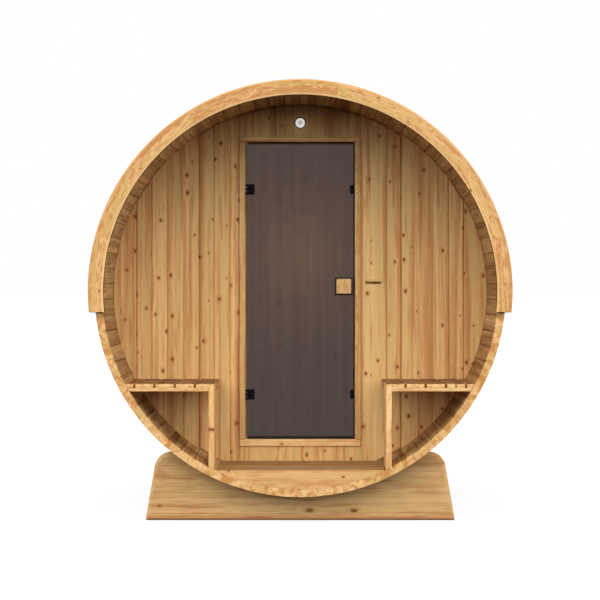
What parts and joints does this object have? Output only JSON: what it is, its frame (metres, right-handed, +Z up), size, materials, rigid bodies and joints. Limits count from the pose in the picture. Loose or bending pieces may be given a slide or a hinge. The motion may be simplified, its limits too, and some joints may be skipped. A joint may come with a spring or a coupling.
{
  "type": "barrel sauna",
  "caption": "Timber barrel sauna on two cradles, with a covered porch, porch benches, a smoked glass door and an arched roof edge.",
  "frame": {"origin": "the middle of the footprint on the ground, under the barrel's axis", "axes": "+Z up; -Y is the porch and door end, and the barrel's axis runs along Y; +X is to the right seen from the porch"},
  "size_m": [2.3056, 2.47, 2.4178],
  "materials": {
    "stave_wood": "planed softwood staves, natural",
    "trim_wood": "planed softwood, natural",
    "wall_wood": "planed knotty softwood boards, natural",
    "floor_wood": "planed softwood, natural",
    "bench_wood": "planed softwood, natural",
    "cradle_wood": "planed softwood, natural",
    "knob_wood": "sanded softwood",
    "roof_shingle": "mineral-surfaced bitumen shingles",
    "band_steel": "stainless strip",
    "black_metal": "satin black",
    "smoked_glass": "bronze-smoked safety glass",
    "lamp_white": "white moulded lens and ring"
  },
  "bodies": {
    "building": {"barrel_staves_01": "stave_wood", "barrel_staves_02": "stave_wood", "barrel_staves_03": "stave_wood", "barrel_staves_04": "stave_wood", "barrel_staves_05": "stave_wood", "barrel_staves_06": "stave_wood", "barrel_staves_07": "stave_wood", "barrel_staves_08": "stave_wood", "barrel_staves_09": "stave_wood", "barrel_staves_10": "stave_wood", "barrel_staves_11": "stave_wood", "barrel_staves_12": "stave_wood", "barrel_staves_13": "stave_wood", "tension_bands": "band_steel", "front_arch": "trim_wood", "rear_arch": "trim_wood", "roof_cover": "roof_shingle", "front_wall_left": "wall_wood", "front_wall_right": "wall_wood", "front_wall_over_door": "wall_wood", "front_wall_under_door": "wall_wood", "rear_wall": "wall_wood", "air_vent": "trim_wood", "porch_lamp": "lamp_white", "porch_deck": "floor_wood", "porch_fascia": "trim_wood", "cabin_deck": "floor_wood", "floor_bearers": "floor_wood", "door_jambs": "trim_wood", "door_head": "trim_wood", "door_sill": "trim_wood", "door_stops": "trim_wood", "hinge_brackets": "black_metal", "left_bench_slats": "bench_wood", "left_bench_rails": "bench_wood", "left_bench_leg": "bench_wood", "right_bench_slats": "bench_wood", "right_bench_rails": "bench_wood", "right_bench_leg": "bench_wood", "front_cradle": "cradle_wood", "rear_cradle": "cradle_wood"},
    "door": {"door_glass": "smoked_glass", "hinge_straps": "black_metal", "door_catches": "black_metal", "knob_outside": "knob_wood", "knob_inside": "knob_wood"}
  },
  "joints": [
    {"name": "door_hinge", "type": "hinge", "parent": "building", "child": "door", "pos_m": [-0.298, -0.611, 1.265], "axis": [0, 0, -1], "range_deg": [0, 100]}
  ]
}
